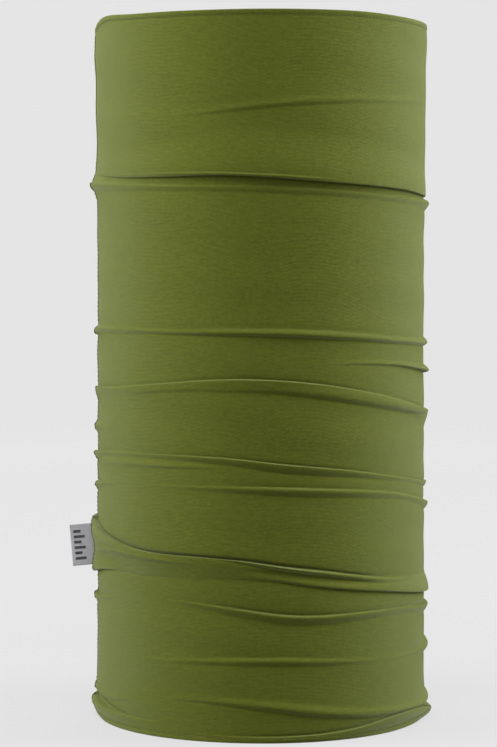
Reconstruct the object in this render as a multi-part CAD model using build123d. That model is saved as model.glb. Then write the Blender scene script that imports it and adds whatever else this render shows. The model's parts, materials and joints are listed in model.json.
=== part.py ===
from build123d import *
import os

# A tubular knitted neck gaiter as it is worn: stretched over a neck and chin and pushed down, so
# that its spare length stands in folds. The origin is the centre of the lower opening, +Z runs up
# through the tube, the wearer's front is at -Y, and the side seam with its tab label is at -X.

# The tube, mm
OPENING_RADIUS = 89.0           # inside of the tube, stretched round what it is worn on
WALL = 1.0                      # the knit with its loft
WORN_HEIGHT = 380.0             # lower edge to upper edge, once bunched

# Bunched folds, each (height of its middle, its span up the tube, how far it stands proud)
TOP_FOLD_DROP = 88.0            # the highest fold, below the upper edge
TOP_FOLD_SPAN = 16.0
TOP_FOLD_PROUD = 4.0
LABEL_BAND_HEIGHT = 94.0        # the broad fold that carries the label
LABEL_BAND_SPAN = 30.0
LABEL_BAND_PROUD = 4.0
SMALL_FOLDS = [
    (213.0, 10.0, 3.0),
    (184.0, 12.0, 2.5),
    (145.0, 12.0, 3.5),
    (124.0, 9.0, 2.0),
    (66.0, 10.0, 2.5),
    (41.0, 10.0, 2.5),
    (13.0, 18.0, 3.5),
]

# Turned edges at the two openings
EDGE_TURN = 2.0                 # rim to the thread that holds the turned edge
EDGE_THREAD_WIDTH = 0.5
EDGE_THREAD_LOFT = 0.3

# Side seam
SEAM_WIDTH = 5.0                # between the middles of the two needle rows
NEEDLE_THREAD_WIDTH = 0.7
NEEDLE_THREAD_LOFT = 0.3
COVER_THREAD_LOFT = 0.2
LOOPER_THREAD_LOFT = 0.4        # sunk in the inner face, so the opening stays clear
THREAD_GAP = 0.1                # between neighbouring threads

# Tab label, folded once, with both leaves sewn into the seam
LABEL_WIDTH = 23.0              # along the seam
LABEL_REACH = 10.5              # from its sewn edge to its fold
LABEL_LEAF = 0.35
LABEL_LEAF_GAP = 0.3
FOLD_ROUNDING = 0.45            # of the label's thickness, at its fold
LABEL_DROOP = 5.0               # degrees that its free end hangs down
LABEL_CLEARANCE = 0.35          # from the tube, so that it can swing

# Woven figure on both faces of the label: a ladder of plain bars
MARK_BARS = 6
MARK_BAR_PITCH = 3.0
MARK_BAR_WIDTH = 1.5
MARK_LONG_BAR = 6.0
MARK_SHORT_BAR = 4.0
MARK_LOFT = 0.08
MARK_FOLD_MARGIN = 2.0          # from the label's fold to the bars

OUTER_RADIUS = OPENING_RADIUS + WALL
THREAD_RUN_BOTTOM = EDGE_TURN + EDGE_THREAD_WIDTH + THREAD_GAP
THREAD_RUN_TOP = WORN_HEIGHT - THREAD_RUN_BOTTOM
COVER_THREAD_WIDTH = SEAM_WIDTH - NEEDLE_THREAD_WIDTH - 2 * THREAD_GAP
LABEL_THICKNESS = 2 * LABEL_LEAF + LABEL_LEAF_GAP
FOLDS = [
    (WORN_HEIGHT - TOP_FOLD_DROP, TOP_FOLD_SPAN, TOP_FOLD_PROUD),
    (LABEL_BAND_HEIGHT, LABEL_BAND_SPAN, LABEL_BAND_PROUD),
    *SMALL_FOLDS,
]
UPRIGHT = (Align.CENTER, Align.CENTER, Align.MIN)
OUTWARD = (Align.MAX, Align.CENTER, Align.CENTER)


def upright_cylinder(radius, bottom=0.0, top=WORN_HEIGHT):
    """A cylinder round the tube's axis, between two heights."""
    return Pos(0, 0, bottom) * Cylinder(radius, top - bottom, align=UPRIGHT)


def fold_ring(middle, span, proud, loft):
    """One fold: a ring inside the wall whose outer side is a low arch, pushed out by loft."""
    low = middle - span / 2
    high = middle + span / 2
    foot = OUTER_RADIUS + loft
    section = make_face(
        Polyline((foot, low), (OPENING_RADIUS, low), (OPENING_RADIUS, high), (foot, high))
        + ThreePointArc((foot, high), (foot + proud, middle), (foot, low))
    )
    return revolve(Plane.XZ * section, axis=Axis.Z)


def outer_form(loft=0.0):
    """The tube's outer shape as a solid without its opening, pushed out by loft."""
    form = upright_cylinder(OUTER_RADIUS + loft)
    for middle, span, proud in FOLDS:
        form += fold_ring(middle, span, proud, loft)
    return form


def seam_strip(width, offset):
    """A box through the tube's -X wall, as wide as one thread's run."""
    run = THREAD_RUN_TOP - THREAD_RUN_BOTTOM
    strip = Box(2 * OUTER_RADIUS, width, run, align=(Align.MAX, Align.CENTER, Align.MIN))
    return Pos(0, offset, THREAD_RUN_BOTTOM) * strip


def outside_seam_thread(width, offset, loft):
    """A thread that follows the folds down the outside of the seam."""
    return (outer_form(loft) & seam_strip(width, offset)) - outer_form()


def looper_groove():
    """The looper thread's room in the inner face of the wall."""
    sleeve = upright_cylinder(OPENING_RADIUS + LOOPER_THREAD_LOFT) - upright_cylinder(OPENING_RADIUS)
    return sleeve & seam_strip(SEAM_WIDTH, 0.0)


def edge_thread(rim, towards_middle):
    """A thread round the outside, EDGE_TURN away from one rim."""
    near = rim + towards_middle * EDGE_TURN
    far = near + towards_middle * EDGE_THREAD_WIDTH
    low = min(near, far)
    high = max(near, far)
    shell = outer_form(EDGE_THREAD_LOFT) - outer_form()
    return shell & upright_cylinder(2 * OUTER_RADIUS, low, high)


def knit_tube():
    return outer_form() - upright_cylinder(OPENING_RADIUS) - looper_groove()


def label_place():
    """Where the label hangs: the middle of its sewn edge, clear of the seam and with its droop."""
    seam_face = OUTER_RADIUS + LABEL_BAND_PROUD + NEEDLE_THREAD_LOFT
    root = seam_face + LABEL_CLEARANCE + LABEL_THICKNESS / 2
    return Pos(-root, 0, LABEL_BAND_HEIGHT) * Rot(0, -LABEL_DROOP, 0)


def label_tape():
    """Two leaves that reach towards -X from the sewn edge and meet in a rounded fold."""
    outside = Box(LABEL_REACH, LABEL_THICKNESS, LABEL_WIDTH, align=OUTWARD)
    fold_edges = outside.edges().filter_by(Axis.Z).group_by(Axis.X)[0]
    outside = fillet(fold_edges, LABEL_THICKNESS * FOLD_ROUNDING)
    between = Box(LABEL_REACH - LABEL_LEAF, LABEL_LEAF_GAP, LABEL_WIDTH, align=OUTWARD)
    return label_place() * (outside - between)


def label_mark():
    """Long and short bars in turn, woven proud of both faces."""
    bars = []
    for index in range(MARK_BARS):
        length = MARK_LONG_BAR if index % 2 == 0 else MARK_SHORT_BAR
        height = (index - (MARK_BARS - 1) / 2) * MARK_BAR_PITCH
        for side in (-1, 1):
            face = side * (LABEL_THICKNESS + MARK_LOFT) / 2
            place = Pos(MARK_FOLD_MARGIN + length - LABEL_REACH, face, height)
            bars.append(label_place() * place * Box(length, MARK_LOFT, MARK_BAR_WIDTH, align=OUTWARD))
    return Compound(children=bars)


needle_row = SEAM_WIDTH / 2
parts = {
    "knit_tube": knit_tube(),
    "seam_front_needle_thread": outside_seam_thread(NEEDLE_THREAD_WIDTH, -needle_row, NEEDLE_THREAD_LOFT),
    "seam_back_needle_thread": outside_seam_thread(NEEDLE_THREAD_WIDTH, needle_row, NEEDLE_THREAD_LOFT),
    "seam_cover_thread": outside_seam_thread(COVER_THREAD_WIDTH, 0.0, COVER_THREAD_LOFT),
    "seam_looper_thread": looper_groove(),
    "top_edge_thread": edge_thread(WORN_HEIGHT, -1),
    "bottom_edge_thread": edge_thread(0.0, 1),
    "label_tape": label_tape(),
    "label_mark": label_mark(),
}
os.makedirs("parts", exist_ok=True)
for name, solid in parts.items():
    export_step(solid, f"parts/{name}.step")
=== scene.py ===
import json
import math

import bpy
import numpy as np
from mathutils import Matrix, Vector


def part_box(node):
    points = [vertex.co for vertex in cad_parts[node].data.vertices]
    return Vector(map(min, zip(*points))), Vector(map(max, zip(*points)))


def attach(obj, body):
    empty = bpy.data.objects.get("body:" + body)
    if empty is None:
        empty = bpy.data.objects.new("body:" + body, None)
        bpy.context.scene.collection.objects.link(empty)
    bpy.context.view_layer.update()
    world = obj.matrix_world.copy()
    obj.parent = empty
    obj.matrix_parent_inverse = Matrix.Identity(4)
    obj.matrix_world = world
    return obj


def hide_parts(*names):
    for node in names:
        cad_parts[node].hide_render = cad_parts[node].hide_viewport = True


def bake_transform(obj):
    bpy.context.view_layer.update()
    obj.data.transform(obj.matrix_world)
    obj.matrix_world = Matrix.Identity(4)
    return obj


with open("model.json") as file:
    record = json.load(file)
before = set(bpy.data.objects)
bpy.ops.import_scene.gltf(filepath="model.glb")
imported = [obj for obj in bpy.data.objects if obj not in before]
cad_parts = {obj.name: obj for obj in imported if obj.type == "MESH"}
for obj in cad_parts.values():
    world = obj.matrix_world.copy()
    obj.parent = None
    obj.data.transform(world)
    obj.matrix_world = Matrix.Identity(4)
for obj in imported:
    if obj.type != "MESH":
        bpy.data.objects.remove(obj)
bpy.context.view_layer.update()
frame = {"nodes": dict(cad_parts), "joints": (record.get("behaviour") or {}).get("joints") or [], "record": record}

# A tubular knitted neck gaiter, stretched round a form and pushed down into folds. Blender lengths
# are in metres. A bearing is an angle round the tube in degrees: 0 faces the front (-Y), 90 is +X,
# and -90 is -X, where the side seam and the label are.

MM = 0.001
BODY = "gaiter"
LABEL_BODY = "label"

# ---------------------------------------------------------------- sizes, from the frame
mounts = {mount["name"]: mount for mount in frame["record"]["mounts"]}
OPENING_RADIUS = mounts["neck_opening"]["dims"]["r_mm"]
TUBE_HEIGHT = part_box("knit_tube")[1][2] / MM
WALL = 1.0                                   # mm, as in the CAD: the knit with its loft
OUTER_RADIUS = OPENING_RADIUS + WALL         # the smooth stretches of the outer face
hinge = next(joint for joint in frame["joints"] if joint["name"] == "label_fold")
HINGE = Vector(hinge["pos_m"]) / MM
HINGE_UP = Vector(hinge["axis"])

# ---------------------------------------------------------------- the cloth, in mm and degrees
KNIT_THICKNESS = 0.6
FLAT_WIDTH = 500.0                           # both faces of the tube laid flat, added up
COLUMNS = 216                                # coarse grid cells round the tube
SEAM_STEP = 0.35                             # degrees, the finer cells along the side seam
SEAM_REACH = 5.0                             # degrees, how far they go to each side of it
ROWS = 298                                   # grid cells up the outer face
INNER_STEP = 3                               # outer rows for each row of the inner face
RIM_ROWS = 3                                 # grid cells round each cut edge
FINE_ROWS = 3040                             # points up the cloth that ROWS are chosen from
ROW_TURN = 6.0                               # mm of cloth that count as much as a radian of bend
ROW_BLUR_UP = 21                             # FINE_ROWS over which the rows' spacing evens out
ROW_BLUR_ROUND = 3.0                         # degrees, the same round the tube
ROW_LEAST = 0.02                             # mm added to the length of each fine step
PATH_SMOOTHING = 5.0                         # degrees, how far a path's corners are rounded

# Shallow, mostly level waves where the cloth isn't quite taut
RIPPLES = 14
RIPPLE_SEED = 11
RIPPLE_DEPTH = 0.05                          # mm, each of them
RIPPLE_TURN_RANGE = (1, 7)                   # waves in one round of the tube, below the second
RIPPLE_RISE_RANGE = (0.04, 0.32)             # radians of a wave in each mm up the tube

FULL_PROUD = 3.0                             # mm that a fold of its full width stands proud
NARROWING = (0.02, 1.5)                      # least and most of FULL_PROUD that set a fold's width
FOLD_ROUNDNESS = 1.45                        # 1 is a plain arch, and more softens its feet
DIVE_WIDTH = 0.75                            # mm

# Each fold is a ridge along a path of (bearing, height of the crest, how far it stands proud). A
# pocket is a ridge that stands less than zero proud. up and down are the ridge's widths above and
# below its crest where it stands FULL_PROUD mm, and it's narrower where it's lower. lean is how far
# the crest tips up, or down if negative, for each mm that it stands proud. dives are how deep the
# cloth dives in at the ridge's upper and lower foot.
FOLDS = [
    dict(  # faint crease below the top opening
        path=[(-34, 326, 0), (-17, 328, 0.4), (8, 332.6, 0.7), (33, 335, 0.65), (56, 335.6, 0.3),
              (78, 336.5, 0)],
        up=5.5, down=4.5, lean=0.0, dives=(0.0, 0.25),
    ),
    dict(  # top fold, upper roll, hanging over the lower one
        path=[(-180, 287, 1.2), (-140, 294, 2.2), (-110, 298, 0.8), (-80, 297.5, 0.3), (-50, 294.8, 0.8),
              (-31, 295, 1.8), (-14, 295.6, 2.5), (2, 294.4, 2.8), (16, 292.6, 2.9), (36, 290.8, 2.6),
              (55, 289, 2.2), (72, 286.8, 1.6), (84, 285.5, 0.6), (115, 289, 2.0), (150, 285, 2.4)],
        up=24, down=1.8, lean=-0.5, dives=(0.0, 0.6),
    ),
    dict(  # top fold, thin light crest above the roll
        path=[(-60, 296.5, 0), (-36, 297.2, 0.4), (-14, 297.4, 0.6), (8, 296, 0.6), (28, 294, 0)],
        up=2.0, down=3.0, lean=0.2, dives=(0.3, 0.0),
    ),
    dict(  # top fold, lower roll
        path=[(-180, 282, 0.6), (-145, 286, 1.6), (-110, 290, 1.6), (-84, 293, 1.8), (-66, 291.5, 1.4),
              (-41, 289.8, 0.8), (-7, 288.8, 0.7), (16, 287.4, 0.9), (43, 285, 0.6), (70, 283, 1.2),
              (88, 282.6, 3.0), (120, 280, 1.2), (150, 278, 0.2)],
        up=2.8, down=4.2, lean=0.2, dives=(0.0, 0.12),
    ),
    dict(  # top fold, its thick end at the side seam
        path=[(-135, 289, 0), (-115, 291, 1.6), (-88, 294.5, 2.6), (-72, 294.5, 0.8), (-60, 293, 0)],
        up=6, down=12, lean=0.0, dives=(0.0, 0.0),
    ),
    dict(  # second fold
        path=[(-180, 210, 2.0), (-140, 214, 1.4), (-110, 210, 2.0), (-90, 212, 2.8), (-76, 214, 1.4),
              (-50, 214, 0.7), (-28, 213.6, 0.7), (-7, 213.8, 1.3), (12, 213, 1.8), (34, 211, 1.5),
              (54, 208.4, 1.2), (70, 207, 1.5), (86, 206, 2.4), (120, 208, 1.2), (150, 213, 2.0)],
        up=3.4, down=3.0, lean=-0.1, dives=(0.1, 0.25),
    ),
    dict(  # short crease on the right
        path=[(22, 197, 0), (36, 197.5, 0.5), (54, 196, 1.1), (70, 193, 2.0), (84, 191, 3.4),
              (100, 189, 2.4), (125, 193, 1.0), (150, 197, 0)],
        up=2.8, down=2.2, lean=-0.25, dives=(0.1, 0.3),
    ),
    dict(  # third fold, its upper edge
        path=[(-180, 178, 1.0), (-140, 172, 2.2), (-108, 178, 1.2), (-84, 182, 1.7), (-66, 182.5, 0.9),
              (-41, 185.5, 0.7), (-22, 188.4, 1.0), (-6, 189.4, 1.6), (8, 188.4, 1.6), (22, 186, 1.3),
              (43, 180.5, 0.9), (62, 174.5, 0.8), (80, 169.5, 2.2), (100, 167, 2.8), (130, 172, 1.6),
              (155, 179, 0.8)],
        up=1.7, down=9.5, lean=0.35, dives=(0.4, 0.0),
    ),
    dict(  # third fold, its lower edge
        path=[(-60, 180, 0), (-41, 182.5, 0.35), (-22, 184, 0.2), (4, 183.5, 0.4), (22, 180.5, 1.1),
              (43, 175.5, 1.5), (62, 170.8, 1.3), (76, 168.5, 0.8), (86, 167, 0)],
        up=7.0, down=2.6, lean=0.0, dives=(0.0, 0.25),
    ),
    dict(  # small bump at the side seam
        path=[(-130, 156, 0), (-108, 158, 1.4), (-88, 160, 2.1), (-74, 161, 0.3), (-60, 161, 0)],
        up=4.5, down=5, lean=0, dives=(0.0, 0.0),
    ),
    dict(  # fourth fold, falling to the right
        path=[(-180, 148, 1.4), (-150, 142, 2.0), (-115, 141, 2.0), (-88, 145.8, 2.4), (-72, 148, 0.8),
              (-50, 149, 0.4), (-28, 149.2, 0.6), (-10, 148.4, 1.3), (4, 145.6, 1.9), (18, 143.4, 1.9),
              (32, 141, 1.2), (50, 136.5, 0.6), (66, 133, 0.4), (80, 130, 0.9), (105, 128, 2.2),
              (140, 134, 1.2), (160, 144, 1.4)],
        up=1.6, down=4.4, lean=0.45, dives=(0.45, 0.35),
    ),
    dict(  # soft border below the fourth fold, on the left
        path=[(-88, 141, 0), (-70, 142, 0.5), (-50, 143, 0.7), (-28, 143.5, 0.6), (-12, 143, 0)],
        up=5, down=2.4, lean=0.0, dives=(0.0, 0.15),
    ),
    dict(  # fifth fold
        path=[(-120, 122, 0.6), (-104, 126, 1.4), (-88, 128, 1.9), (-72, 131, 0.4), (-52, 132, 0),
              (-26, 133, 0.2), (-10, 133.2, 0.8), (12, 132, 1.6), (34, 130, 1.2), (50, 127.5, 0.8),
              (64, 124, 0.8), (76, 120, 1.2), (86, 118, 2.6), (110, 114, 2.0), (150, 116, 2.2),
              (180, 119, 1.6), (-150, 118, 2.2)],
        up=2.4, down=4.6, lean=0.15, dives=(0.3, 0.25),
    ),
    dict(  # label band, the upper edge that laps over the cloth above
        path=[(-180, 104, 0.8), (-150, 101, 1.4), (-118, 107, 2.0), (-97, 110, 3.4), (-86, 109, 3.4),
              (-76, 106, 2.8), (-62, 101.6, 2.6), (-50, 98.6, 2.6), (-40, 97.2, 2.6), (-22, 96.9, 2.4),
              (-6, 95.4, 2.0), (6, 92.0, 1.2), (20, 89.2, 0.6), (36, 85.5, 0.3), (54, 82, 0.1),
              (84, 80, 0.1), (110, 88, 0.6), (150, 100, 1.0)],
        up=1.3, down=12, lean=0.5, dives=(1.5, 0.0),
    ),
    dict(  # label band, the narrow ridge where its upper edge runs out
        path=[(-16, 96, 0), (-4, 94.8, 0.9), (6, 91.9, 1.3), (20, 89.2, 1.3), (35, 85.2, 0.8),
              (48, 82, 0.4), (60, 80, 0)],
        up=1.8, down=4.0, lean=0.1, dives=(0.5, 0.7),
    ),
    dict(  # label band, pocket below that ridge
        path=[(-6, 90, 0), (5, 88.2, -1.2), (20, 85.4, -1.4), (34, 82.5, -0.8), (46, 80, 0)],
        up=3.6, down=3.8, lean=0.0, dives=(0.0, 0.0),
    ),
    dict(  # label band, the lower edge
        path=[(-180, 84, 1.0), (-150, 82, 1.2), (-118, 79, 2.0), (-98, 79.5, 3.2), (-84, 80.5, 2.9),
              (-74, 83.5, 1.2), (-58, 86, 0.45), (-40, 85.5, 0.2), (-25, 85, 0.1), (-8, 86, 0.1),
              (4, 85.4, 0.5), (16, 82.4, 1.4), (30, 79.4, 1.7), (50, 75.6, 1.7), (70, 71.5, 1.9),
              (86, 69.6, 2.6), (110, 74, 1.8), (150, 82, 1.2)],
        up=10, down=1.8, lean=-0.3, dives=(0.0, 0.5),
    ),
    dict(  # label band, its body round the seam
        path=[(-125, 94, 0), (-110, 94, 1.0), (-97, 95, 2.4), (-84, 95, 2.2), (-72, 95, 0.8),
              (-60, 94, 0)],
        up=14, down=14, lean=0.0, dives=(0.0, 0.0),
    ),
    dict(  # crease inside the label band
        path=[(-90, 92, 0), (-78, 93, 0.7), (-60, 94.5, 1.0), (-40, 93, 0.7), (-20, 91.5, 0)],
        up=4.5, down=2.0, lean=0.0, dives=(0.0, 0.3),
    ),
    dict(  # second crease inside the label band, at the seam
        path=[(-90, 100, 0), (-78, 100, 0.6), (-66, 98, 0.8), (-56, 96.5, 0)],
        up=4.0, down=2.0, lean=0.0, dives=(0.0, 0.3),
    ),
    dict(  # sixth fold, sagging in the middle
        path=[(-180, 63, 1.6), (-140, 66, 1.2), (-110, 68, 1.8), (-88, 66.5, 2.4), (-74, 68, 0.5),
              (-56, 72, 0.0), (-38, 73.4, 0.0), (-22, 72.2, 0.45), (-6, 69, 1.4), (8, 65.6, 1.9),
              (20, 65, 1.8), (38, 65.6, 1.2), (54, 65.4, 0.8), (70, 63.5, 1.2), (86, 61.5, 2.4),
              (115, 62, 1.8), (150, 60, 1.8)],
        up=2.0, down=4.8, lean=0.2, dives=(0.4, 0.15),
    ),
    dict(  # seventh fold, soft
        path=[(-48, 40, 0), (-26, 42.0, 0.5), (-10, 42.8, 0.9), (8, 43, 1.2), (24, 41.5, 0.8),
              (44, 40, 0.2), (66, 39.5, 0.3), (80, 39, 1.6), (90, 39, 2.8), (110, 43, 1.6),
              (150, 38, 1.4), (180, 36, 1.8), (-150, 37, 1.0), (-125, 40, 0)],
        up=3.4, down=4.6, lean=0.0, dives=(0.15, 0.15),
    ),
    dict(  # roll above the hem
        path=[(-180, 16, 2.0), (-140, 13, 2.4), (-112, 13, 2.4), (-92, 14.5, 1.9), (-78, 15.5, 1.2),
              (-62, 15.5, 0.5), (-44, 18, 0.0), (-28, 22, 0.1), (-14, 21.6, 0.7), (4, 19, 1.4),
              (18, 15.6, 1.6), (36, 12.4, 1.4), (56, 10.5, 1.0), (70, 9.0, 1.2), (84, 8.5, 2.0),
              (110, 12, 2.4), (150, 17, 1.8)],
        up=4.6, down=4.4, lean=-0.1, dives=(0.0, 0.25),
    ),
    dict(  # slanting crease above the hem, at the side seam
        path=[(-94, 20, 0), (-84, 18, 1.0), (-74, 15.5, 1.0), (-62, 12, 0.8), (-50, 8.5, 0)],
        up=4.0, down=2.0, lean=0.0, dives=(0.0, 1.4),
    ),
    dict(  # hem turned up, crossing the front from low in the middle to high on the right
        path=[(-20, 3.4, 0), (4, 3.0, 0.8), (20, 3.4, 1.5), (34, 5, 2.1), (48, 8, 2.6),
              (62, 8.6, 2.6), (76, 6.2, 3.0), (90, 1.6, 4.3), (110, 3.0, 2.4), (140, 4, 1.0),
              (165, 3, 0)],
        up=1.5, down=6.0, lean=0.35, dives=(0.6, 0.0),
    ),
    dict(  # hem flare at the side seam
        path=[(-150, 5, 0), (-125, 6, 1.8), (-100, 7, 3.8), (-84, 7.5, 3.4), (-68, 7, 1.4),
              (-50, 7, 0.7), (-35, 7, 0)],
        up=3.6, down=7.5, lean=0.3, dives=(0.4, 0.0),
    ),
]

# How far the two rims rise above level, each (bearing, mm)
TOP_RIM_LIFT = [(-180, -0.4), (-130, 0.6), (-104, -1.6), (-92, -3.6), (-84, -2.6), (-75, 0.2),
                (-68, 1.9), (-60, 1.3), (-50, 0.1), (-20, -0.2), (15, 0.1), (35, 0.3), (55, -0.6),
                (70, -0.8), (84, -0.9), (110, 0.4), (150, 0.2)]
BOTTOM_RIM_LIFT = [(-180, 0.5), (-130, 0.9), (-95, 1.8), (-84, 1.6), (-72, 0.6), (-50, 0.3),
                   (-25, 0.0), (40, 0.0), (58, 0.5), (72, 0.9), (86, 1.0), (105, 0.8), (140, 0.6)]
RIM_REACH = 26.0                             # how far from a rim its lift is felt

# How far the form under the cloth stands out of the plain cylinder, each (height, mm)
FORM_SWELL = [(0, 0.5), (60, 0.2), (120, 0.0), (200, -0.4), (260, -0.4), (300, 0.0), (340, 0.3),
              (372, 0.9), (380, 0.8)]

# Turned edges at the two openings, mm
EDGE_TURN = 2.0                              # rim to the foot of the turned edge
EDGE_ROLL = 0.35                             # how far it stands proud
EDGE_SOFTNESS = 0.6                          # over which it falls away, on each side of its foot
EDGE_THREAD_AT = EDGE_TURN + 0.3             # rim to its thread
EDGE_GROOVE = 0.12                           # how far the thread pulls the cloth in
EDGE_GROOVE_WIDTH = 0.35
EDGE_SAMPLES = 1440                          # points round the tube that its stitches follow

# Side seam
SEAM_BEARING_LOW = -90.0
SEAM_BEARING_HIGH = -86.5                    # the tube is worn with a slight twist
SEAM_WIDTH = 5.0                             # mm between the two needle rows
SEAM_LIFT = 0.35                             # mm that the lapped cloth stands proud
SEAM_SLOPE = 1.2                             # mm over which the lap falls away at its sides
SEAM_PUCKER = 0.25                           # of SEAM_LIFT, up and down at each stitch
SEAM_END = EDGE_TURN + 0.6                   # mm from a rim to the seam's last stitch
SEAM_SAMPLES = 2600                          # points along the seam that its stitches follow
STITCH_LENGTH = 2.4                          # mm along the seam
COVER_INSET = 0.5                            # mm that the cover thread turns short of a needle row
COVER_LIFT = 0.06                            # mm, cloth to the middle of the cover thread
LOOPER_CLEARANCE = 0.02                      # mm, inner face to the middle of the looper thread
LACE_RADIUS = 0.16                           # mm, the cover and looper threads

# Threads
STITCH_STEPS = 5                             # rings along one stitch
STITCH_END = 0.97                            # 1 would bring a stitch's ends to a point
STITCH_FULLNESS = 0.6                        # 1 is round, and less is more even in thickness
ANY_SLANT = (0.31, 0.57, 0.76)               # a direction that no thread keeps to

# Label
TAPE_LEAF = 0.28                             # mm, one leaf of the woven tape
TAPE_ROOT = 2.4                              # mm that the leaves run past the hinge into the seam
TAPE_WAVE = 0.12                             # mm that the tape bows
TAPE_WAVE_DROP = 0.3                         # of half the label's width, how far down it crosses zero
TAPE_STEPS = 40                              # points along one leaf
TAPE_FOLD_STEPS = 11                         # points round the fold
TAPE_ROWS = 56                               # points along the sewn edge
BAR_COUNT = 6
BAR_PITCH = 3.0                              # mm
BAR_WIDTH = 1.5                              # mm
BAR_LENGTHS = (6.0, 4.0)                     # mm, long and short bars in turn
BAR_MARGIN = 2.0                             # mm, from the label's fold to the bars
BAR_YARNS = 5                                # yarns side by side in one bar
YARN_STEPS = 13                              # rings along one yarn
YARN_RADIUS = 0.56                           # of the yarns' spacing, so that they touch
YARN_CRIMP = 0.14                            # of the radius, thicker and thinner in turn

# ---------------------------------------------------------------- colours, linear
OLIVE = (0.0625, 0.0752, 0.0074)
OLIVE_THREAD = (0.048, 0.058, 0.0075)
TAPE_GREY = (0.27, 0.27, 0.29)
FIGURE_BLACK = (0.012, 0.012, 0.014)
STUDIO = (0.045, 0.045, 0.045)
STUDIO_GLOW = (0.635, 0.75)                  # a lit table: how much it shines near the tube and far off
GLOW_REACH = (0.3, 1.9)                      # m from the tube, where those two begin

# ---------------------------------------------------------------- knit finish
KNIT_WALE = 0.75                             # mm, one column of stitches, lying flat
KNIT_COURSE = 0.72                           # mm, one row of stitches
STITCH_SLANT = -1.3                          # courses that a stitch's leg shifts in one wale
STREAKS = (0.16, 0.8, 1.0)                   # noise features in each mm, along the rows and up
MOTTLE = (0.5, 0.7, 1.0)
FUZZ = (2.2, 2.6, 1.0)
DYE_DARK = 0.74                              # of OLIVE
DYE_LIGHT = 1.36
STITCH_PAINTED_SHADE = 0.55                          # of OLIVE, painted shade in the gaps between the stitches
SHEEN_TINT = (0.91, 1.0, 0.76, 1.0)

# ---------------------------------------------------------------- studio, in metres
SWEEP_FLOOR = 2.6                            # radius of the level floor
SWEEP_BEND = 1.2                             # radius of the curve up into the wall
SWEEP_TOP = 1.8                              # height of the wall
SWEEP_SIDES = 96                             # flat sides round it
SWEEP_STEPS = 25                             # points up the curve
WORLD_STRENGTH = 0.3
SOFTBOXES = [                                # (name, place, size, W)
    ("left", (-1.1, -0.18, 0.75), (0.8, 0.9), 40.0),
    ("right", (1.1, 0.04, 0.75), (0.8, 0.9), 44.0),
    ("front", (0.0, -0.9, 1.6), (1.2, 0.8), 26.0),
    ("back", (0.0, 0.9, 1.6), (1.2, 0.8), 26.0),
]
CAMERA_PLACE = (-0.00703, -1.3696, 0.2516)
CAMERA_TILT = 0.046                          # radians down
CAMERA_LENS = 119.4                          # mm
CAMERA_FILM = 36.0                           # mm


# ================================================================ the cloth's shape

GRID_BEARINGS = -180.0 + 360.0 * np.arange(COLUMNS) / COLUMNS


def mesh_bearings():
    """GRID_BEARINGS, with finer steps along the side seam."""
    low = SEAM_BEARING_LOW - SEAM_REACH
    high = SEAM_BEARING_HIGH + SEAM_REACH
    coarse = GRID_BEARINGS[(GRID_BEARINGS < low) | (GRID_BEARINGS > high)]
    return np.sort(np.concatenate([coarse, np.arange(low, high, SEAM_STEP)]))


def blurred_round(values, degrees):
    """Values at GRID_BEARINGS, blurred round the tube by that many degrees."""
    steps = np.arange(COLUMNS)
    apart = np.minimum(steps, COLUMNS - steps) * 360.0 / COLUMNS
    kernel = np.exp(-0.5 * (apart / degrees) ** 2)
    kernel /= kernel.sum()
    return np.fft.ifft(np.fft.fft(values) * np.fft.fft(kernel)).real


def sorted_pairs(keys, values):
    """Both lists, put in the order of the keys."""
    order = np.argsort(keys)
    return np.asarray(keys, float)[order], np.asarray(values, float)[order]


def path_round(points, column):
    """One column of a path's points as a smooth closed line, at GRID_BEARINGS."""
    bearings = [point[0] for point in points]
    values = [point[column] for point in points]
    straight = np.interp(GRID_BEARINGS, *sorted_pairs(bearings, values), period=360.0)
    return blurred_round(straight, PATH_SMOOTHING)


def at(bearings, line):
    """A line given at GRID_BEARINGS, read at other bearings."""
    return np.interp(bearings, GRID_BEARINGS, line, period=360.0)


def step(value, low, high):
    """0 below low, 1 above high, and smooth between them."""
    share = np.clip((value - low) / (high - low), 0.0, 1.0)
    return share * share * (3.0 - 2.0 * share)


for fold in FOLDS:
    fold["proud_line"] = path_round(fold["path"], 2)
    fold["crest_line"] = path_round(fold["path"], 1) - fold["lean"] * fold["proud_line"]
TOP_LIFT_LINE = path_round(TOP_RIM_LIFT, 1)
BOTTOM_LIFT_LINE = path_round(BOTTOM_RIM_LIFT, 1)

ripple_random = np.random.default_rng(RIPPLE_SEED)
RIPPLE_TURNS = ripple_random.integers(*RIPPLE_TURN_RANGE, RIPPLES)
RIPPLE_RISES = ripple_random.uniform(*RIPPLE_RISE_RANGE, RIPPLES)
RIPPLE_PHASES = ripple_random.uniform(0.0, 2.0 * math.pi, RIPPLES)


def ripple(bearings, heights):
    """How far the shallow waves stand out, in mm."""
    depth = np.zeros_like(heights)
    for turns, rise, phase in zip(RIPPLE_TURNS, RIPPLE_RISES, RIPPLE_PHASES):
        depth = depth + np.sin(np.radians(bearings) * turns + heights * rise + phase)
    return RIPPLE_DEPTH * depth


def seam_bearing(heights):
    """Where the side seam runs, at that height up the tube."""
    share = np.clip(heights / TUBE_HEIGHT, 0.0, 1.0)
    return SEAM_BEARING_LOW + (SEAM_BEARING_HIGH - SEAM_BEARING_LOW) * share


def seam_proud(bearings, heights):
    """The lapped cloth of the seam, with a pucker at each stitch."""
    across = np.radians(bearings - seam_bearing(heights)) * OUTER_RADIUS
    lap = 1.0 - step(np.abs(across), SEAM_WIDTH / 2, SEAM_WIDTH / 2 + SEAM_SLOPE)
    pucker = 1.0 - SEAM_PUCKER + SEAM_PUCKER * np.cos(2.0 * math.pi * heights / STITCH_LENGTH)
    return SEAM_LIFT * lap * pucker


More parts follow.
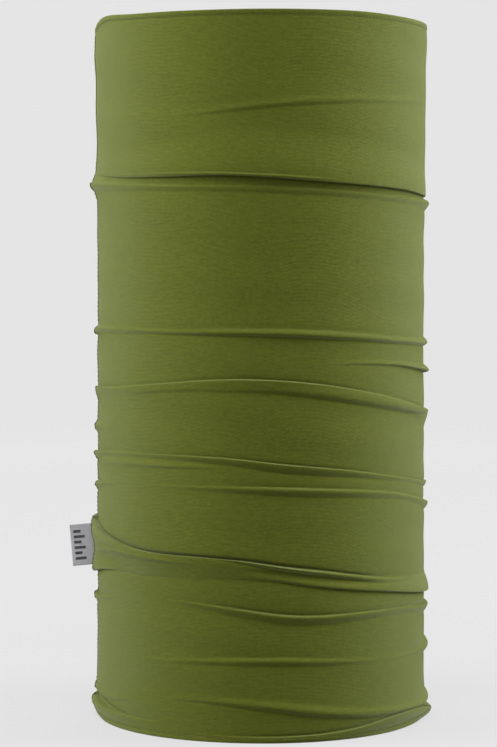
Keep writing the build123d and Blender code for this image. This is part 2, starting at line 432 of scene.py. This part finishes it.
def edge_proud(heights):
    """The turned edge at each opening: a flat roll with a groove where its thread pulls in."""
    inside = np.minimum(heights, TUBE_HEIGHT - heights)
    roll = EDGE_ROLL * (1.0 - step(inside, EDGE_TURN - EDGE_SOFTNESS, EDGE_TURN + EDGE_SOFTNESS))
    groove = EDGE_GROOVE * np.exp(-(((inside - EDGE_THREAD_AT) / EDGE_GROOVE_WIDTH) ** 2))
    return roll - groove


def cloth_at(bearings, heights):
    """Points of the cloth's outer face, in mm. heights are where they'd be on a smooth tube."""
    swell_heights, swell = zip(*FORM_SWELL)
    radius = OUTER_RADIUS + np.interp(heights, swell_heights, swell) + ripple(bearings, heights)
    rise = np.array(heights, float)
    for fold in FOLDS:
        proud = at(bearings, fold["proud_line"])
        narrowed = np.sqrt(np.clip(np.abs(proud) / FULL_PROUD, *NARROWING))
        beyond = (heights - at(bearings, fold["crest_line"])) / narrowed
        share = np.clip(beyond / np.where(beyond > 0.0, fold["up"], fold["down"]), -1.0, 1.0)
        stand = proud * (1.0 - share ** 2) ** FOLD_ROUNDNESS
        for foot, depth in zip((fold["up"], -fold["down"]), fold["dives"]):
            away = narrowed * (beyond - foot) / DIVE_WIDTH
            stand = stand - depth * np.clip(proud, 0.0, 1.0) * np.exp(-(away ** 2))
        radius = radius + stand
        rise = rise + fold["lean"] * np.maximum(stand, 0.0)
    radius = radius + seam_proud(bearings, heights) + edge_proud(heights)
    near_top = step(heights, TUBE_HEIGHT - RIM_REACH, TUBE_HEIGHT)
    near_bottom = 1.0 - step(heights, 0.0, RIM_REACH)
    rise = rise + near_top * at(bearings, TOP_LIFT_LINE) + near_bottom * at(bearings, BOTTOM_LIFT_LINE)
    turn = np.radians(bearings)
    return np.stack([radius * np.sin(turn), -radius * np.cos(turn), rise], axis=-1)


def cloth_frame_at(bearings, heights):
    """Points on the cloth's outer face, with the unit normals and the unit directions up it."""
    nudge = 0.05  # degrees, then mm
    along = cloth_at(bearings + nudge, heights) - cloth_at(bearings - nudge, heights)
    up = cloth_at(bearings, heights + nudge) - cloth_at(bearings, heights - nudge)
    up /= np.linalg.norm(up, axis=-1, keepdims=True)
    normal = np.cross(along, up)
    normal /= np.linalg.norm(normal, axis=-1, keepdims=True)
    return cloth_at(bearings, heights), normal, up


def row_heights():
    """Heights of the grid's rows in each column, packed closer where the cloth bends sharply."""
    fine = np.linspace(0.0, TUBE_HEIGHT, FINE_ROWS)
    bearings, heights = np.meshgrid(GRID_BEARINGS, fine)
    points = cloth_at(bearings, heights)
    profile = np.stack([np.hypot(points[..., 0], points[..., 1]), points[..., 2]], axis=-1)
    ahead = np.diff(profile, axis=0)
    lengths = np.linalg.norm(ahead, axis=-1)
    before, after = ahead[:-1], ahead[1:]
    cross = before[..., 0] * after[..., 1] - before[..., 1] * after[..., 0]
    turning = np.abs(np.arctan2(cross, (before * after).sum(axis=-1)))
    turning = np.concatenate([turning, turning[-1:]])
    weight = lengths + ROW_TURN * turning
    kernel = np.hanning(ROW_BLUR_UP) / np.hanning(ROW_BLUR_UP).sum()
    weight = np.apply_along_axis(lambda column: np.convolve(column, kernel, mode="same"), 0, weight)
    weight = np.apply_along_axis(blurred_round, 1, weight, ROW_BLUR_ROUND) + ROW_LEAST
    totals = np.concatenate([np.zeros((1, COLUMNS)), np.cumsum(weight, axis=0)])
    shares = np.linspace(0.0, 1.0, ROWS + 1)
    return np.stack([np.interp(shares * total[-1], total, fine) for total in totals.T], axis=1)


def new_mesh(name, points, faces):
    """A smooth-shaded mesh object from points in mm."""
    mesh = bpy.data.meshes.new(name)
    mesh.from_pydata((np.asarray(points) * MM).tolist(), [], faces)
    mesh.validate()
    mesh.polygons.foreach_set("use_smooth", [True] * len(mesh.polygons))
    piece = bpy.data.objects.new(name, mesh)
    bpy.context.scene.collection.objects.link(piece)
    return piece


def grid_faces(rows, columns):
    """Faces of an open grid of points, row by row."""
    faces = []
    for row in range(rows - 1):
        for column in range(columns - 1):
            first = row * columns + column
            faces.append((first, first + 1, first + columns + 1, first + columns))
    return faces


def cut_edge(normal, up):
    """Offsets from the cloth's middle, round the half circle that joins its faces at a rim."""
    turns = math.pi * np.arange(1, RIM_ROWS) / RIM_ROWS
    return KNIT_THICKNESS / 2 * np.array([normal * math.cos(t) + up * math.sin(t) for t in turns])


def closed_grid(rows, columns):
    """The rows and the columns of each face's corners, for a grid that closes on itself both ways."""
    row, column = np.meshgrid(np.arange(rows), np.arange(columns), indexing="ij")
    next_row = (row + 1) % rows
    next_column = (column + 1) % columns
    corner_rows = np.stack([row, row, next_row, next_row], axis=-1)
    corner_columns = np.stack([column, next_column, next_column, column], axis=-1)
    return corner_rows, corner_columns


def knit_uv(columns, cloth_run, corner_rows, corner_columns):
    """Where each face's corners lie on the flat cloth, in mm: round the tube and up it."""
    left = (columns + 180.0) / 360.0 * FLAT_WIDTH
    right = np.append(left[1:], FLAT_WIDTH)
    column = corner_columns[..., 0]
    across = np.stack([left[column], right[column], right[column], left[column]], axis=-1)
    return np.stack([across, cloth_run[corner_rows, corner_columns]], axis=-1)


def knit_tube():
    """The cloth: an outer face, an inner face one thickness away, and a rounded edge at each end."""
    columns = mesh_bearings()
    heights = np.array([at(columns, row) for row in row_heights()])
    outer, normal, up = cloth_frame_at(np.broadcast_to(columns, heights.shape), heights)
    middle = outer - normal * KNIT_THICKNESS / 2
    inner = outer - normal * KNIT_THICKNESS
    inner_rows = np.arange(ROWS, -1, -INNER_STEP)
    top_edge = middle[-1] + cut_edge(normal[-1], up[-1])
    low_edge = middle[0] - cut_edge(normal[0], up[0])
    points = np.concatenate([outer, top_edge, inner[inner_rows], low_edge])
    climb = np.linalg.norm(np.diff(outer, axis=0), axis=-1)
    run = np.concatenate([np.zeros((1, len(columns))), np.cumsum(climb, axis=0)])
    top_run = np.repeat(run[-1:], len(top_edge), axis=0)
    low_run = np.repeat(run[:1], len(low_edge), axis=0)
    run = np.concatenate([run, top_run, run[inner_rows], low_run])
    corner_rows, corner_columns = closed_grid(len(points), len(columns))
    faces = (corner_rows * len(columns) + corner_columns).reshape(-1, 4)
    piece = new_mesh("knit_tube_cloth", points.reshape(-1, 3), faces.tolist())
    layer = piece.data.uv_layers.new(name="Knit")
    layer.data.foreach_set("uv", knit_uv(columns, run, corner_rows, corner_columns).ravel())
    return piece


# ================================================================ threads

def strand(path, radii, sides=6):
    """Points and faces of one round thread along a path in mm, with closed ends."""
    path = np.asarray(path, float)
    ahead = np.gradient(path, axis=0)
    ahead /= np.linalg.norm(ahead, axis=1, keepdims=True)
    side = np.cross(ahead, np.array(ANY_SLANT))
    side /= np.linalg.norm(side, axis=1, keepdims=True)
    lift = np.cross(ahead, side)
    angles = 2.0 * math.pi * np.arange(sides) / sides
    around = side[:, None, :] * np.cos(angles)[None, :, None]
    around = around + lift[:, None, :] * np.sin(angles)[None, :, None]
    rings = path[:, None, :] + np.asarray(radii)[:, None, None] * around
    faces = []
    for ring in range(len(path) - 1):
        for corner in range(sides):
            after = (corner + 1) % sides
            low = ring * sides
            high = low + sides
            faces.append((low + corner, low + after, high + after, high + corner))
    faces.append(tuple(range(sides))[::-1])
    faces.append(tuple(range((len(path) - 1) * sides, len(path) * sides)))
    return rings.reshape(-1, 3), faces


def joined(name, strands):
    """One mesh object made of many strands."""
    points = []
    faces = []
    for some_points, some_faces in strands:
        first = len(points)
        points.extend(some_points.tolist())
        faces.extend(tuple(first + corner for corner in face) for face in some_faces)
    return new_mesh(name, points, faces)


def length_along(points):
    """The length of a line up to each of its points."""
    return np.concatenate([[0.0], np.cumsum(np.linalg.norm(np.diff(points, axis=0), axis=1))])


def stitch_row(name, bearings, heights, length, gap, radius, sink):
    """A row of separate stitches along a line on the cloth, evenly spaced by the cloth's own length."""
    points, normals, _ = cloth_frame_at(bearings, heights)
    run = length_along(points)
    line = points + normals * (radius - sink)
    taper = np.sqrt(1.0 - np.linspace(-STITCH_END, STITCH_END, STITCH_STEPS) ** 2) ** STITCH_FULLNESS
    strands = []
    for index in range(int(run[-1] / length)):
        marks = np.linspace(index * length + gap / 2, (index + 1) * length - gap / 2, STITCH_STEPS)
        path = np.stack([np.interp(marks, run, line[:, axis]) for axis in range(3)], axis=1)
        strands.append(strand(path, radius * taper))
    return joined(name, strands)


def seam_line(offset):
    """Bearings and heights along the seam, offset mm to one side of its middle."""
    heights = np.linspace(SEAM_END, TUBE_HEIGHT - SEAM_END, SEAM_SAMPLES)
    bearings = seam_bearing(heights) + math.degrees(offset / OUTER_RADIUS)
    return bearings, heights


def zigzag_thread(name, half_width, advance, radius, lift):
    """A thread that crosses the seam from side to side as it runs along it."""
    bearings, heights = seam_line(0.0)
    run = length_along(cloth_at(bearings, heights))
    marks = np.arange(0.0, run[-1], advance / 4)
    swing = half_width * (2.0 / math.pi) * np.arcsin(np.sin(marks / advance * math.pi))
    at_heights = np.interp(marks, run, heights)
    at_bearings = seam_bearing(at_heights) + np.degrees(swing / OUTER_RADIUS)
    path, normals, _ = cloth_frame_at(at_bearings, at_heights)
    path = path + normals * lift
    return joined(name, [strand(path, np.full(len(path), radius), sides=5)])


def edge_stitches(name, height):
    """The stitches that hold the turned edge, round the tube at that height."""
    bearings = np.linspace(-180.0, 180.0, EDGE_SAMPLES)
    heights = np.full_like(bearings, height)
    return stitch_row(name, bearings, heights, length=2.6, gap=0.35, radius=0.2, sink=0.08)


# ================================================================ label

OUTWARD = (-Vector((0.0, 1.0, 0.0)).cross(HINGE_UP)).normalized()
tape_points = [vertex.co / MM - HINGE for vertex in frame["nodes"]["label_tape"].data.vertices]
LABEL_REACH = max(point.dot(OUTWARD) for point in tape_points)
LABEL_HALF = max(point.dot(HINGE_UP) for point in tape_points)
LEAF_MIDDLE = max(point.y for point in tape_points) - TAPE_LEAF / 2


def label_point(reach, aside, height):
    """A point of the label: mm out from the hinge, to the back, and up along the sewn edge."""
    wave = math.sin(math.pi * (height / LABEL_HALF + TAPE_WAVE_DROP))
    bow = TAPE_WAVE * wave * (reach / LABEL_REACH)
    return HINGE + OUTWARD * reach + HINGE_UP * height + Vector((0.0, aside + bow, 0.0))


def label_tape():
    """The folded tape: front leaf out to the fold, round it, and the back leaf in again."""
    straight = np.linspace(-TAPE_ROOT, LABEL_REACH - LEAF_MIDDLE - TAPE_LEAF / 2, TAPE_STEPS)
    turn = np.linspace(-math.pi / 2, math.pi / 2, TAPE_FOLD_STEPS)[1:-1]
    fold_reach = straight[-1] + LEAF_MIDDLE * np.cos(turn)
    reaches = np.concatenate([straight, fold_reach, straight[::-1]])
    asides = np.concatenate([
        np.full(len(straight), -LEAF_MIDDLE),
        LEAF_MIDDLE * np.sin(turn),
        np.full(len(straight), LEAF_MIDDLE),
    ])
    heights = np.linspace(-LABEL_HALF, LABEL_HALF, TAPE_ROWS)
    points = [label_point(r, a, h) for r, a in zip(reaches, asides) for h in heights]
    faces = grid_faces(len(reaches), len(heights))
    piece = new_mesh("label_tape_cloth", points, faces)
    thick = piece.modifiers.new("leaf", "SOLIDIFY")
    thick.thickness = TAPE_LEAF * MM
    thick.offset = 0.0
    return piece


def label_bars():
    """Long and short woven bars on both faces, each a few yarns side by side."""
    yarn = BAR_WIDTH / BAR_YARNS
    crimp = YARN_CRIMP * np.cos(np.arange(YARN_STEPS) * math.pi)
    radii = YARN_RADIUS * yarn * (1.0 - YARN_CRIMP + crimp)
    strands = []
    for index in range(BAR_COUNT):
        length = BAR_LENGTHS[index % 2]
        middle = (index - (BAR_COUNT - 1) / 2) * BAR_PITCH
        reaches = LABEL_REACH - BAR_MARGIN - np.linspace(0.0, length, YARN_STEPS)
        for side in (-1, 1):
            aside = side * (LEAF_MIDDLE + TAPE_LEAF / 2)
            for thread in range(BAR_YARNS):
                height = middle + (thread - (BAR_YARNS - 1) / 2) * yarn
                path = [label_point(reach, aside, height) for reach in reaches]
                strands.append(strand(path, radii))
    return joined("label_mark_yarns", strands)


# ================================================================ materials

def new_material(name):
    """A material, its tree and shader, and two short ways to add and wire more nodes."""
    material = bpy.data.materials.new(name)
    material.use_nodes = True
    tree = material.node_tree
    shader = tree.nodes["Principled BSDF"]

    def node(kind, inputs=(), **settings):
        made = tree.nodes.new(kind)
        for key, value in settings.items():
            setattr(made, key, value)
        for socket, value in dict(inputs).items():
            if isinstance(value, bpy.types.NodeSocket):
                tree.links.new(value, made.inputs[socket])
            else:
                made.inputs[socket].default_value = value
        return made

    def math_node(operation, first, second=0.0, third=0.0):
        return node("ShaderNodeMath", {0: first, 1: second, 2: third}, operation=operation).outputs[0]

    return material, tree, shader, node, math_node


def mixed(node, share, low, high):
    """A colour between two, by share."""
    mix = node("ShaderNodeMix", {"Factor": share, "A": low, "B": high}, data_type="RGBA")
    return mix.outputs["Result"]


def scaled(colour, factor):
    """A colour made lighter or darker, with its alpha."""
    return tuple(channel * factor for channel in colour) + (1.0,)


def cloth_noise(node, place, stretch, detail):
    """Noise over the cloth's own millimetres, with that many features in each, both ways."""
    spread = node("ShaderNodeMapping", {"Vector": place, "Scale": stretch}).outputs[0]
    return node("ShaderNodeTexNoise", {"Vector": spread, "Scale": 1.0, "Detail": detail}).outputs["Fac"]


def object_noise(node, size_mm, detail=2.0):
    """Noise in the object's own frame, with features of about that size."""
    place = node("ShaderNodeTexCoord").outputs["Object"]
    scale = 1.0 / (size_mm * MM)
    return node("ShaderNodeTexNoise", {"Vector": place, "Scale": scale, "Detail": detail}).outputs["Fac"]


def bumped(tree, shader, node, height, strength, depth):
    """Relief on a surface, depth mm deep."""
    bump = node("ShaderNodeBump", {"Height": height, "Strength": strength, "Distance": depth * MM})
    tree.links.new(bump.outputs["Normal"], shader.inputs["Normal"])


def roughened(tree, shader, node, share, low, high):
    """Roughness that varies between two values, by share."""
    rough = node("ShaderNodeMapRange", {"Value": share, "To Min": low, "To Max": high}).outputs[0]
    tree.links.new(rough, shader.inputs["Roughness"])


def knit_material():
    """Fine jersey: rows of small V stitches with painted shade between them, uneven yarn and slightly streaky dye.
    """
    material, tree, shader, node, math_node = new_material("olive_knit")
    place = node("ShaderNodeUVMap", uv_map="Knit").outputs["UV"]
    split = node("ShaderNodeSeparateXYZ", {0: place}).outputs
    wale = math_node("FRACT", math_node("DIVIDE", split["X"], KNIT_WALE))
    leg = math_node("ABSOLUTE", math_node("SUBTRACT", wale, 0.5))
    course = math_node("DIVIDE", split["Y"], KNIT_COURSE)
    slanted = math_node("MULTIPLY_ADD", leg, STITCH_SLANT, course)
    loop = math_node("ABSOLUTE", math_node("SINE", math_node("MULTIPLY", slanted, math.pi)))
    legs = math_node("SINE", math_node("MULTIPLY", leg, 2.0 * math.pi))
    stitch = math_node("MULTIPLY", loop, math_node("MULTIPLY_ADD", legs, 0.6, 0.4))
    streaks = cloth_noise(node, place, STREAKS, detail=3.0)
    mottle = cloth_noise(node, place, MOTTLE, detail=4.0)
    yarn = math_node("MULTIPLY_ADD", streaks, 0.45, math_node("MULTIPLY", mottle, 0.55))
    dye = node("ShaderNodeMapRange", {"Value": yarn, "From Min": 0.3, "From Max": 0.7}).outputs[0]
    base = mixed(node, dye, scaled(OLIVE, DYE_DARK), scaled(OLIVE, DYE_LIGHT))
    # painted shade: the colour darkens towards STITCH_PAINTED_SHADE where the stitch relief is low, between the
    # loops
    stitch_painted_shade_colour = mixed(node, stitch, scaled(OLIVE, STITCH_PAINTED_SHADE), base)
    tree.links.new(stitch_painted_shade_colour, shader.inputs["Base Color"])
    fuzz = cloth_noise(node, place, FUZZ, detail=3.0)
    height = math_node("MULTIPLY_ADD", fuzz, 0.35, stitch)
    bumped(tree, shader, node, height, strength=0.7, depth=0.2)
    roughened(tree, shader, node, mottle, low=0.82, high=0.95)
    shader.inputs["Specular IOR Level"].default_value = 0.04
    shader.inputs["Sheen Weight"].default_value = 0.21
    shader.inputs["Sheen Roughness"].default_value = 0.4
    shader.inputs["Sheen Tint"].default_value = SHEEN_TINT
    return material


def thread_material():
    """Textured sewing thread: fine crimped filaments, a little darker in its hollows, which is painted shade."""
    material, tree, shader, node, _ = new_material("olive_thread")
    crimp = object_noise(node, 0.25, detail=3.0)
    patch = object_noise(node, 3.0)
    base = mixed(node, patch, scaled(OLIVE_THREAD, 0.85), scaled(OLIVE_THREAD, 1.15))
    # painted shade: darker where the crimp relief is low
    tree.links.new(mixed(node, crimp, scaled(OLIVE_THREAD, 0.6), base), shader.inputs["Base Color"])
    bumped(tree, shader, node, crimp, strength=0.6, depth=0.1)
    roughened(tree, shader, node, patch, low=0.6, high=0.8)
    shader.inputs["Specular IOR Level"].default_value = 0.12
    shader.inputs["Sheen Weight"].default_value = 0.1
    shader.inputs["Sheen Tint"].default_value = (0.92, 1.0, 0.76, 1.0)
    return material


def tape_material():
    """Grey satin tape: warp ribs along its length, fainter weft across them, painted shade between the ribs,
    uneven dye.
    """
    material, tree, shader, node, math_node = new_material("label_satin")
    place = node("ShaderNodeTexCoord").outputs["Object"]
    split = node("ShaderNodeSeparateXYZ", {0: place}).outputs
    warp = math_node("SINE", math_node("MULTIPLY", split["Z"], 2.0 * math.pi / (0.28 * MM)))
    weft = math_node("SINE", math_node("MULTIPLY", split["X"], 2.0 * math.pi / (0.4 * MM)))
    weave = math_node("MULTIPLY_ADD", math_node("MULTIPLY", warp, weft), 0.3, warp)
    grain = math_node("MULTIPLY_ADD", weave, 0.25, 0.5)
    patch = object_noise(node, 2.5, detail=3.0)
    base = mixed(node, patch, scaled(TAPE_GREY, 0.88), scaled(TAPE_GREY, 1.14))
    # painted shade: darker where the weave relief is low, between the ribs
    tree.links.new(mixed(node, grain, scaled(TAPE_GREY, 0.75), base), shader.inputs["Base Color"])
    bumped(tree, shader, node, weave, strength=0.5, depth=0.05)
    roughened(tree, shader, node, patch, low=0.38, high=0.55)
    shader.inputs["Sheen Weight"].default_value = 0.15
    return material


def figure_material():
    """Black woven yarn, with a painted highlight on its high fibres and painted shade between them."""
    material, tree, shader, node, _ = new_material("label_black_yarn")
    fibre = object_noise(node, 0.3, detail=3.0)
    # painted highlight and shade: paler where the fibre relief is high, darker where it is low
    tree.links.new(mixed(node, fibre, scaled(FIGURE_BLACK, 0.7), scaled(FIGURE_BLACK, 2.2)),
                   shader.inputs["Base Color"])
    bumped(tree, shader, node, fibre, strength=0.6, depth=0.06)
    roughened(tree, shader, node, fibre, low=0.5, high=0.7)
    return material


def studio_material():
    """Matte paper for the sweep, which shines like a lit table, more so far from the tube."""
    material, tree, shader, node, _ = new_material("studio_paper")
    grain = object_noise(node, 6.0)
    tree.links.new(mixed(node, grain, scaled(STUDIO, 0.995), scaled(STUDIO, 1.005)),
                   shader.inputs["Base Color"])
    shader.inputs["Roughness"].default_value = 1.0
    shader.inputs["Specular IOR Level"].default_value = 0.0
    place = node("ShaderNodeTexCoord").outputs["Object"]
    reach = node("ShaderNodeVectorMath", {0: place}, operation="LENGTH").outputs["Value"]
    glow = node("ShaderNodeMapRange", {
        "Value": reach,
        "From Min": GLOW_REACH[0],
        "From Max": GLOW_REACH[1],
        "To Min": STUDIO_GLOW[0],
        "To Max": STUDIO_GLOW[1],
    }).outputs[0]
    shader.inputs["Emission Color"].default_value = (1.0, 1.0, 1.0, 1.0)
    tree.links.new(glow, shader.inputs["Emission Strength"])
    return material


# ================================================================ studio

def studio_sweep():
    """A round floor that curves up into a low wall, the same from every side."""
    turn = np.linspace(0.0, math.pi / 2, SWEEP_STEPS)
    wall = SWEEP_FLOOR + SWEEP_BEND
    reaches = np.concatenate([[0.0], SWEEP_FLOOR + SWEEP_BEND * np.sin(turn), [wall]])
    rises = np.concatenate([[0.0], SWEEP_BEND * (1.0 - np.cos(turn)), [SWEEP_TOP]])
    angles = 2.0 * math.pi * np.arange(SWEEP_SIDES + 1) / SWEEP_SIDES
    points = [(reach / MM * math.cos(angle), reach / MM * math.sin(angle), rise / MM)
              for reach, rise in zip(reaches, rises) for angle in angles]
    sweep = new_mesh("studio_sweep", points, grid_faces(len(reaches), len(angles)))
    sweep.data.materials.append(studio_material())


def soft_light(name, place, target, size, power):
    """A rectangular soft light at a place, facing a target."""
    lamp = bpy.data.lights.new(name, "AREA")
    lamp.shape = "RECTANGLE"
    lamp.size, lamp.size_y = size
    lamp.energy = power
    holder = bpy.data.objects.new(name, lamp)
    holder.location = place
    holder.rotation_euler = (Vector(target) - Vector(place)).to_track_quat("-Z", "Y").to_euler()
    holder.visible_camera = False
    bpy.context.scene.collection.objects.link(holder)


def studio_light():
    """Even white surroundings, with big soft lights on the four sides."""
    world = bpy.data.worlds.new("studio")
    world.use_nodes = True
    surroundings = world.node_tree.nodes["Background"].inputs
    surroundings["Color"].default_value = (1.0, 1.0, 1.0, 1.0)
    surroundings["Strength"].default_value = WORLD_STRENGTH
    bpy.context.scene.world = world
    middle = (0.0, 0.0, 0.5 * TUBE_HEIGHT * MM)
    for name, place, size, power in SOFTBOXES:
        soft_light(f"{name}_softbox", place, middle, size, power)
    bpy.context.scene.view_settings.view_transform = "Standard"


def studio_camera():
    """The camera a little above the tube's middle, looking slightly down."""
    lens = bpy.data.cameras.new("camera")
    lens.lens = CAMERA_LENS
    lens.sensor_width = CAMERA_FILM
    holder = bpy.data.objects.new("camera", lens)
    holder.location = CAMERA_PLACE
    holder.rotation_euler = (math.pi / 2 - CAMERA_TILT, 0.0, 0.0)
    bpy.context.scene.collection.objects.link(holder)
    bpy.context.scene.camera = holder


# ================================================================ everything put together

def placed(piece, body, material, node):
    """A finished piece: its material, what it rides with, and the CAD part that is hidden in its place."""
    piece.data.materials.append(material)
    if body:
        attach(piece, body)
    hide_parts(node)
    return piece


def main():
    knit = knit_material()
    thread = thread_material()
    tube = placed(knit_tube(), BODY, knit, "knit_tube")

    for side, row in ((-1, "front"), (1, "back")):
        bearings, heights = seam_line(-side * SEAM_WIDTH / 2)
        stitches = stitch_row(f"seam_{row}_needle_stitches", bearings, heights,
                              length=STITCH_LENGTH, gap=0.4, radius=0.26, sink=0.1)
        placed(stitches, BODY, thread, f"seam_{row}_needle_thread")
    cover = zigzag_thread("seam_cover_stitches", SEAM_WIDTH / 2 - COVER_INSET, STITCH_LENGTH / 2,
                          LACE_RADIUS, COVER_LIFT)
    placed(cover, BODY, thread, "seam_cover_thread")
    looper = zigzag_thread("seam_looper_stitches", SEAM_WIDTH / 2, STITCH_LENGTH / 2,
                           LACE_RADIUS, -KNIT_THICKNESS - LOOPER_CLEARANCE)
    placed(looper, BODY, thread, "seam_looper_thread")
    for end, height in (("top", TUBE_HEIGHT - EDGE_THREAD_AT), ("bottom", EDGE_THREAD_AT)):
        stitches = edge_stitches(f"{end}_edge_stitches", height)
        placed(stitches, BODY, thread, f"{end}_edge_thread")

    tape = label_tape()
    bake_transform(tape)
    placed(tape, None, tape_material(), "label_tape")
    placed(label_bars(), LABEL_BODY, figure_material(), "label_mark")

    studio_sweep()
    studio_light()
    studio_camera()


main()
